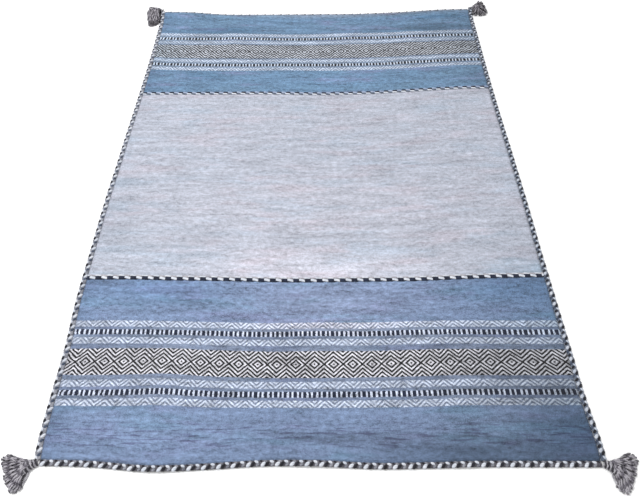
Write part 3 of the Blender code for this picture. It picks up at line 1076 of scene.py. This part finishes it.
def sweep(path, profile, turn=None):
    """Sweep a profile along a path, and keep its run along and around as the map yarn."""
    tree = path.tree
    path = keep(path, "run", run_along(tree))
    path = put(tree, "GeometryNodeSetCurveNormal", {"Curve": path}, mode="Z_UP")
    if turn is not None:
        path = put(tree, "GeometryNodeSetCurveTilt", {"Curve": path, "Tilt": turn})
    profile = keep(profile, "round", put(tree, "GeometryNodeSplineParameter", out="Factor"))
    tube = put(tree, "GeometryNodeCurveToMesh",
               {"Curve": path, "Profile Curve": profile, "Fill Caps": True})
    run, around = (put(tree, "GeometryNodeInputNamedAttribute", {"Name": name}, data_type="FLOAT")
                   for name in ("run", "round"))
    return smooth(keep(tube, "yarn", vector(run, around), "FLOAT2", "CORNER"))


def sweep_oval(path, width, thick, facets):
    ring = ring_of(path.tree, facets, 0.5)
    return sweep(path, put(path.tree, "GeometryNodeTransform",
                           {"Geometry": ring, "Scale": vector(width, thick, 1.0)}))


def level_left(tangent):
    """The level direction across a path, to its left."""
    return arrow("NORMALIZE", arrow("CROSS_PRODUCT", UP, tangent))


def scaled(way, length):
    return put(way.tree, "ShaderNodeVectorMath", {0: way, 3: length}, operation="SCALE")


def realized(parts):
    """Parts joined into one plain shape."""
    tree = parts[0].tree
    node = tree.nodes.new("GeometryNodeJoinGeometry")
    for part in parts:
        tree.links.new(part.socket, node.inputs[0])
    return put(tree, "GeometryNodeRealizeInstances", {"Geometry": Term(tree, node.outputs[0])})


def draw_lobes(given):
    """One row of a plait's lobes along a path, the outer side on its right."""
    tree = given["Path"].tree
    ball = put(tree, "GeometryNodeMeshUVSphere",
               {"Segments": LOBE_SEGMENTS, "Rings": LOBE_RINGS, "Radius": 0.5})
    x, y, z = split(put(tree, "GeometryNodeInputPosition"))
    around = calc("ARCTAN2", y, z) / FULL_TURN
    ball = keep(ball, "yarn", vector(x * given["Length"], around), "FLOAT2", "CORNER")
    size = vector(given["Length"], given["Width"], given["Height"])
    ball = put(tree, "GeometryNodeTransform", {"Geometry": ball, "Scale": size})
    ball = smooth(of_yarn(ball, given["Yarn"]))

    total = put(tree, "GeometryNodeCurveLength", {"Curve": given["Path"]})
    count = calc("CEIL", total / given["Repeat"]) + 2.0
    row = put(tree, "GeometryNodeMeshLine", {"Count": count}, mode="OFFSET")
    number = put(tree, "GeometryNodeInputIndex")
    chance = put(tree, "FunctionNodeRandomValue",
                 {"Min": -1.0, "Max": 1.0, "ID": number, "Seed": given["Seed"]},
                 out="Value", data_type="FLOAT")
    along = (number + given["Place"]) * given["Repeat"] - given["Start"]
    along = along + chance * given["Jitter"]
    found = outputs_of(tree, new_node(tree, "GeometryNodeSampleCurve",
                                      {"Curves": given["Path"], "Length": along}, mode="LENGTH"))
    outward = scaled(level_left(found["Tangent"]), given["Outwards"] * -1.0)
    spot = arrow("ADD", found["Position"], outward)
    row = put(tree, "GeometryNodeSetPosition", {"Geometry": row, "Position": spot})
    ahead, aside = split(found["Tangent"])[:2]
    lean = calc("RADIANS", given["Lean"] + chance * given["Spin"])
    turn = put(tree, "FunctionNodeEulerToRotation",
               {0: vector(0.0, 0.0, calc("ARCTAN2", aside, ahead) + lean)})
    inside = (along > LOBES_OFF_ENDS) * (along < total - LOBES_OFF_ENDS)
    return {"Lobes": put(tree, "GeometryNodeInstanceOnPoints",
                         {"Points": row, "Selection": inside, "Instance": ball,
                          "Rotation": turn})}


def make_plait_tree():
    """Three strands that pass over and under each other: a core, and the lobes that show."""
    lobes = make_group("plait lobes", GEOMETRY_NODES, {
        "Path": GEOMETRY, "Repeat": 0.0355, "Start": 0.0, "Place": 0.0, "Outwards": 0.0,
        "Lean": 45.0, "Length": 0.012, "Width": 0.008, "Height": 0.008, "Jitter": LOBE_JITTER,
        "Spin": LOBE_SPIN, "Seed": 1, "Yarn": MATERIAL}, draw_lobes)

    def draw_plait(given):
        core = sweep_oval(resampled(given["Path"], CORE_STEP), given["Core Width"],
                          given["Core Height"], CORE_FACETS)
        parts = [of_yarn(core, given["Core Yarn"])]
        for number in range(1, len(END_LOBES) + 1):
            names = numbered("Lobe", number, LOBE_LABELS)
            feeds = {label: given[label] for label in ("Path", "Repeat", "Start")}
            feeds.update({label: given[name] for label, name in names.items()}, Seed=number)
            parts.append(use_group(core.tree, lobes, feeds)["Lobes"])
        return {"Plait": realized(parts)}

    return make_group("three-strand plait", GEOMETRY_NODES, {
        "Path": GEOMETRY, "Repeat": 0.0355, "Start": 0.0, "Core Width": 0.012,
        "Core Height": 0.006, "Core Yarn": MATERIAL,
        **part_inputs("Lobe", len(END_LOBES), LOBE_LABELS)}, draw_plait)


def draw_twine(given):
    """Strands beside each other that dive through the web in turn."""
    tree = given["Path"].tree
    fine = resampled(given["Path"], STRAND_STEP)
    turns = (run_along(tree) + given["Start"]) / given["Repeat"]
    strands = []
    for number in range(1, len(TWINE_STRANDS) + 1):
        own = {label: given[name]
               for label, name in numbered("Strand", number, STRAND_LABELS).items()}
        angle = (turns + own["Place"]) * FULL_TURN
        high = calc("TANH", calc("SINE", angle) * TWINE_SQUARENESS)
        aside = given["Side"] * own["Offset"] + calc("COSINE", angle) * own["Slant"]
        left = scaled(level_left(put(tree, "GeometryNodeInputTangent")), aside)
        offset = arrow("ADD", left, vector(0.0, 0.0, high * given["Dive"]))
        line = put(tree, "GeometryNodeSetPosition", {"Geometry": fine, "Offset": offset})
        strand = sweep_oval(line, own["Width"], own["Thickness"], STRAND_FACETS)
        strands.append(of_yarn(strand, own["Yarn"]))
    return {"Cord": realized(strands)}


def draw_spun_yarn(given):
    """Yarn of two plies that turn about each other, one yarn along each spline."""
    tree = given["Paths"].tree
    fine = resampled(given["Paths"], PLY_STEP)
    number = put(tree, "GeometryNodeCurveOfPoint", out="Curve Index")
    chance = put(tree, "FunctionNodeRandomValue", {"ID": number, "Seed": given["Seed"]}, out=1,
                 data_type="FLOAT")
    # the yarns underneath the top ones lose half their tone: painted shade where the others cover
    # them; the random half is the yarn's own uneven grey
    lit_on_top = number > given["Yarns In Painted Shade"]
    fine = keep(fine, "tone", chance * 0.5 + lit_on_top * 0.5)
    turn = run_along(tree) * given["Turns per Metre"] * FULL_TURN
    plies = []
    for ply_number, side in enumerate((-1.0, 1.0)):
        ring = put(tree, "GeometryNodeTransform", {
            "Geometry": ring_of(tree, PLY_FACETS, given["Ply Radius"]),
            "Translation": vector(given["Ply Offset"] * side, 0.0)})
        plies.append(keep(sweep(fine, ring, turn), "ply", float(ply_number)))
    return {"Yarns": of_yarn(realized(plies), given["Yarn"])}


def grow(name, paths, tree, values):
    """Sweep paths through a tree, and keep the result as a plain mesh piece."""
    curve = bpy.data.curves.new(name, "CURVE")
    curve.dimensions = "3D"
    for path in paths:
        spline = curve.splines.new("POLY")
        spline.points.add(len(path) - 1)
        spline.points.foreach_set("co", np.column_stack([path, np.ones(len(path))]).ravel())
    guide = new_object(name + "_guide", curve)
    sweeping = guide.modifiers.new("sweep", "NODES")
    sweeping.node_group = tree
    for item in tree.interface.items_tree:
        if item.in_out == "INPUT" and item.name in values:
            sweeping[item.identifier] = values[item.name]
    graph = bpy.context.evaluated_depsgraph_get()
    mesh = bpy.data.meshes.new_from_object(guide.evaluated_get(graph), depsgraph=graph)
    bpy.data.objects.remove(guide)
    mesh.name = name
    return new_object(name, mesh)


# The pieces
def make_web(material):
    """The web as one fine sheet on its drifted threads, with its creases and its thickness."""
    columns = round(2 * CLOTH_HALF_WIDTH / WEB_CELL)
    rows = round(2 * CLOTH_HALF_LENGTH / WEB_CELL)
    u, v = np.meshgrid(np.linspace(-CLOTH_HALF_WIDTH, CLOTH_HALF_WIDTH, columns + 1),
                       np.linspace(-CLOTH_HALF_LENGTH, CLOTH_HALF_LENGTH, rows + 1))
    u, v = u.ravel(), v.ravel()
    points = place(u, v)
    points[:, 2] = np.maximum(points[:, 2] + humps(CREASES, u, v), 0.0)
    index = np.arange(len(u)).reshape(rows + 1, columns + 1)
    faces = np.stack([index[:-1, :-1], index[:-1, 1:], index[1:, 1:], index[1:, :-1]], -1)
    faces = faces.reshape(-1, 4)
    mesh = bpy.data.meshes.new("cloth_web")
    mesh.from_pydata(points.tolist(), [], faces.tolist())
    near, far = (across_at(CHART_STATION_PITCH, CHART_DRIFTS[end], u) for end in ("near", "far"))
    for name, across in (("threads", u), ("charts", u + MM * np.where(v < 0, near, far))):
        layer = mesh.uv_layers.new(name=name)
        layer.uv.foreach_set("vector", np.stack([across, v], 1)[faces.ravel()].ravel())
    mesh.shade_smooth()
    mesh.materials.append(material)
    web = new_object("cloth_web", mesh)
    shell = web.modifiers.new("thickness", "SOLIDIFY")
    shell.thickness = CLOTH_THICK
    shell.offset = 1.0
    return web


def plait_paths():
    """The middle line of each edge plait, run round the rug counter-clockwise from above."""
    along = np.linspace(-CLOTH_HALF_LENGTH, CLOTH_HALF_LENGTH, SIDE_PLAIT_POINTS)
    across = np.linspace(-CLOTH_HALF_WIDTH, CLOTH_HALF_WIDTH, END_PLAIT_POINTS)
    paths = {
        "left": beside(-CLOTH_HALF_WIDTH, along, -1, 0)[::-1],
        "near": beside(across, -CLOTH_HALF_LENGTH, 0, -1),
        "right": beside(CLOTH_HALF_WIDTH, along, 1, 0),
        "far": beside(across, CLOTH_HALF_LENGTH, 0, 1)[::-1],
    }
    paths["far"][:, 1] -= FAR_PLAIT_TUCK
    paths["far"][:, 2] = PLAIT_HEIGHT / 2
    return paths


def part_values(kind, number, labels, row, yarns):
    """One row of a table as the values of its part's inputs."""
    names = numbered(kind, number, labels).values()
    return dict(zip(names, (yarns[row[0]], *row[1:])))


def make_plaits(yarns):
    tree = make_plait_tree()
    pieces = {}
    for name, path in plait_paths().items():
        repeat, start, core, core_width, core_height, lower = PLAIT_RUNS[name]
        values = {"Repeat": repeat, "Start": start, "Core Width": core_width,
                  "Core Height": core_height, "Core Yarn": yarns[core]}
        for number, row in enumerate(PLAIT_LOBES[name], 1):
            row = (*row[:-1], row[-1] * lower)
            values.update(part_values("Lobe", number, LOBE_LABELS, row, yarns))
        pieces["plait_" + name] = grow("edge_plait_" + name, [path], tree, values)
    return pieces


def make_cross_cords(yarns):
    """The two twined cords. Their strands dive into the web between showing turns."""
    tree = make_group("twined cord", GEOMETRY_NODES, {
        "Path": GEOMETRY, "Repeat": TWINE_REPEAT, "Side": 1.0, "Start": 0.0, "Dive": TWINE_DIVE,
        **part_inputs("Strand", len(TWINE_STRANDS), STRAND_LABELS)}, draw_twine)
    top = CLOTH_THICK + GAP + CROSS_CORD_HEIGHT
    end_x = CLOTH_HALF_WIDTH - CROSS_CORD_SHORT
    pieces = {}
    for end, line in CROSS_CORD_LINES.items():
        path = place(np.linspace(-end_x, end_x, CORD_POINTS), line,
                     top - TWINE_UNDER_TOP - TWINE_DIVE)
        near = end == "near"
        values = {"Repeat": TWINE_REPEAT, "Side": 1.0 if near else -1.0,
                  "Start": TWINE_STARTS[end], "Dive": TWINE_DIVE}
        for number, row in enumerate(TWINE_STRANDS, 1):
            near_yarn, far_yarn, offset, near_width, far_width, thick, at, slant = row
            row = (near_yarn, offset, near_width) if near else (far_yarn, offset, far_width)
            values.update(part_values("Strand", number, STRAND_LABELS,
                                      (*row, thick, at, slant), yarns))
        pieces["cross_cord_" + end] = grow("twined_cord_" + end, [path], tree, values)
    return pieces


def heading(degrees):
    return np.array((math.cos(math.radians(degrees)), math.sin(math.radians(degrees)), 0.0))


def bend(start, via, end, share):
    """Points on the soft bend from start towards via and on to end."""
    share = np.atleast_1d(share)[:, None]
    return (1 - share) ** 2 * start + 2 * share * (1 - share) * via + share ** 2 * end


def lateral(points):
    """Level unit vectors to the left of each step of a path."""
    ahead = np.gradient(points, axis=0)
    left = np.stack([-ahead[:, 1], ahead[:, 0], np.zeros(len(ahead))], 1)
    return left / np.linalg.norm(left, axis=1)[:, None]


def knot_and_via(tassel):
    """Where a tassel starts at its corner, on the floor, and the end of its neck."""
    knot = beside(tassel.side * CLOTH_HALF_WIDTH, tassel.end * CLOTH_HALF_LENGTH,
                  tassel.side, tassel.end)[0]
    knot[2] = 0.0
    return knot, knot + heading(tassel.neck_heading) * tassel.neck_length


def tip_of(name, knot, at, share=1.0):
    """Where a yarn ends, at a share of the way across the tassel's fan."""
    headings, reaches = np.array(TIPS[name], float).T
    turned = abs(headings - headings[0])
    angle = at * turned[-1]
    reach = np.interp(angle, turned, reaches * MM) * share
    sense = math.copysign(1.0, headings[-1] - headings[0])
    return knot + heading(headings[0] + sense * angle) * reach


def yarn_paths(tassel, chance):
    """Middle lines of a tassel's yarns: out of the neck, over the head and down to the floor."""
    knot = knot_and_via(tassel)[0]
    first_turn, last_turn, lift_share, neck_share = YARN_BENDS[tassel.name][:4]
    first_length = tassel.neck_length * neck_share
    share = np.linspace(YARN_ROOT, 1.0, YARN_POINTS)
    settle = ramp(share, *WAVES_SET_IN)
    drop = 1.0 - LAST_DROP * ramp(share, *DROPS) ** 2
    tall = LEAST_RISE + (1.0 - LEAST_RISE) * ramp(share, *RISES)
    paths = []
    for count, reach_share, fan_share, height in YARN_LAYERS:
        for i in range(count):
            at = 0.5 + fan_share * ((i + chance.uniform(*YARN_SHIFTS)) / (count - 1) - 0.5)
            tip = tip_of(tassel.name, knot, min(max(at, 0.0), 1.0),
                         reach_share * chance.uniform(*REACH_SHARES))
            length = first_length + (LAST_BEND_LENGTH - first_length) * at
            turn = first_turn + (last_turn - first_turn) * min(at / 0.5, 1.0)
            points = bend(knot, knot + heading(tassel.neck_heading + turn) * length, tip, share)
            waves = np.linalg.norm(tip - knot) / chance.uniform(*WAVE_LENGTHS)
            curl = np.sin(FULL_TURN * (share * waves + chance.uniform(0, 1)))
            points += lateral(points) * (chance.uniform(*SWAYS) * curl * settle)[:, None]
            swell = np.sin(FULL_TURN * (share * waves * SWELLS_PER_WAVE + chance.uniform(0, 1)))
            points[:, 2] = np.maximum(height * tassel.rise * lift_share * drop * tall
                                      + SWELL * swell * settle, YARN_RADIUS)
            paths.append(points)
    return paths


def loose_paths(tassel):
    """Two long pale yarns that bow out along the outer side of a near tassel."""
    if tassel.name not in LOOSE_SIDES:
        return []
    knot, via = knot_and_via(tassel)
    share = np.linspace(LOOSE_ROOT, 1.0, YARN_POINTS)
    paths = []
    for at, bow, height in LOOSE_YARNS:
        points = bend(knot, via, tip_of(tassel.name, knot, at, LOOSE_REACH), share)
        swell = np.sin(math.pi * ramp(share, *LOOSE_BOWS)) * bow * LOOSE_SIDES[tassel.name]
        points += lateral(points) * swell[:, None]
        points[:, 2] = np.maximum(height * (1.0 - LOOSE_DROP * share), YARN_RADIUS)
        paths.append(points)
    return paths


def binding_paths(tassel):
    """Two thick yarns wound side by side round the neck, a pale one and a dark one."""
    knot, via = knot_and_via(tassel)
    reach = (tassel.first_reach + tassel.last_reach) / 2
    middle_tip = knot + heading((tassel.first + tassel.last) / 2) * ((1.0 + TIP_BULGE) * reach)
    tips = [knot + heading(tassel.first) * tassel.first_reach,
            knot + heading(tassel.last) * tassel.last_reach]
    fan = np.linalg.norm(tips[1] - tips[0]) * HEAD_REACH ** 2 / 2
    fan_half_width = max(fan + FAN_MARGIN, LEAST_FAN_HALF_WIDTH)

    turns, start_share, span = BINDINGS[tassel.name][:3]
    turn = np.linspace(0.0, turns, round(turns * BINDING_POINTS_PER_TURN))
    share = start_share + span * turn / turns
    middle = bend(knot, knot + (via - knot) * HEAD_REACH,
                  bend(knot, via, middle_tip, HEAD_REACH)[0], np.clip(share, 0, 1))
    middle += (np.minimum(share, 0)[:, None] * BINDING_BACK) * heading(tassel.neck_heading)
    growth = column_at(HEAD_RINGS, 1, share)
    half_width = NECK_HALF_WIDTH + (fan_half_width - NECK_HALF_WIDTH) * growth
    height = column_at(HEAD_RINGS, 2, share) * tassel.rise
    paths = []
    for start in (0.0, 0.5):
        angle = FULL_TURN * (turn + start)
        aside = np.cos(angle) * (half_width + BINDING_ASIDE)
        up = height / 2 + np.sin(angle) * (height / 2 + BINDING_ABOVE)
        points = middle + lateral(middle) * aside[:, None]
        points[:, 2] = np.maximum(up, YARN_RADIUS * BINDING_PLY)
        paths.append(points)
    return paths


def make_tassels(yarns):
    tree = make_group("two-ply yarn", GEOMETRY_NODES, {
        "Paths": GEOMETRY, "Ply Radius": PLY_RADIUS, "Ply Offset": PLY_OFFSET,
        "Turns per Metre": YARN_TURNS, "Yarns In Painted Shade": 0.0, "Seed": TONE_SEED,
        "Yarn": MATERIAL}, draw_spun_yarn)
    chance = np.random.default_rng(PATH_SEED)
    pieces, bindings = {}, []
    for tassel in TASSELS:
        name = tassel.name
        values = {"Ply Radius": PLY_RADIUS, "Ply Offset": PLY_OFFSET,
                  "Turns per Metre": YARN_TURNS, "Yarns In Painted Shade": YARN_BENDS[name][-1],
                  "Seed": TONE_SEED, "Yarn": yarns["marled"]}
        pieces["tassel_" + name] = grow("tassel_yarns_" + name, yarn_paths(tassel, chance), tree,
                                        values)
        values["Ply Radius"] = PLY_RADIUS * BINDING_PLY
        values["Ply Offset"] = PLY_OFFSET * BINDING_PLY
        for path, colour in zip(binding_paths(tassel), BINDINGS[name][3:]):
            values["Yarn"] = yarns[colour]
            wound = [path] + (loose_paths(tassel) if colour == "pale" else [])
            piece = grow(f"tassel_binding_{colour}_{name}", wound, tree, values)
            bindings.append(("tassel_" + name, piece))
    return pieces, bindings


def make_floor():
    """A plain pale floor, wide enough to fill every view."""
    bm = bmesh.new()
    bmesh.ops.create_grid(bm, x_segments=2, y_segments=2, size=FLOOR_SIZE)
    mesh = bpy.data.meshes.new("floor")
    bm.to_mesh(mesh)
    bm.free()
    floor = new_object("floor", mesh)
    material = new_material("pale floor")
    tree = material.node_tree
    feed(tree, tree.nodes["Principled BSDF"].inputs,
         {"Base Color": FLOOR_WHITE, "Roughness": 0.9, "Specular IOR Level": 0.0})
    mesh.materials.append(material)
    return floor


def make_light():
    """Even white light from all round, and a soft lamp from the left."""
    world = bpy.data.worlds.new("room")
    bpy.context.scene.world = world
    world.use_nodes = True
    tree = world.node_tree
    tree.nodes.clear()
    seen = put(tree, "ShaderNodeLightPath", out="Is Camera Ray")
    sky = put(tree, "ShaderNodeBackground",
              {"Color": (1.0, 1.0, 1.0, 1.0), "Strength": seen * SKY_SEEN_BRIGHTER + SKY_LIGHT})
    new_node(tree, "ShaderNodeOutputWorld", {"Surface": sky})
    lamp = new_object("key lamp", bpy.data.lights.new("key lamp", "AREA"))
    lamp.data.shape = "SQUARE"
    lamp.data.size = LAMP_SIZE
    lamp.data.energy = LAMP_WATTS
    lamp.location = LAMP_PLACE
    towards = Vector(LAMP_TARGET) - Vector(LAMP_PLACE)
    lamp.rotation_euler = towards.to_track_quat("-Z", "Y").to_euler()
    bpy.context.scene.view_settings.view_transform = "Standard"


def dress(pieces):
    for node, piece in pieces:
        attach(piece, "root")
        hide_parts(node)


def main():
    make_camera()
    make_light()
    floor = make_floor()
    yarns = make_yarns()
    web = make_web(make_web_finish())
    plaits = make_plaits(yarns)
    cords = make_cross_cords(yarns)
    tassels, bindings = make_tassels(yarns)

    dress([("cloth", web)])
    dress(plaits.items())
    dress(cords.items())
    dress([*tassels.items(), *bindings])


main()
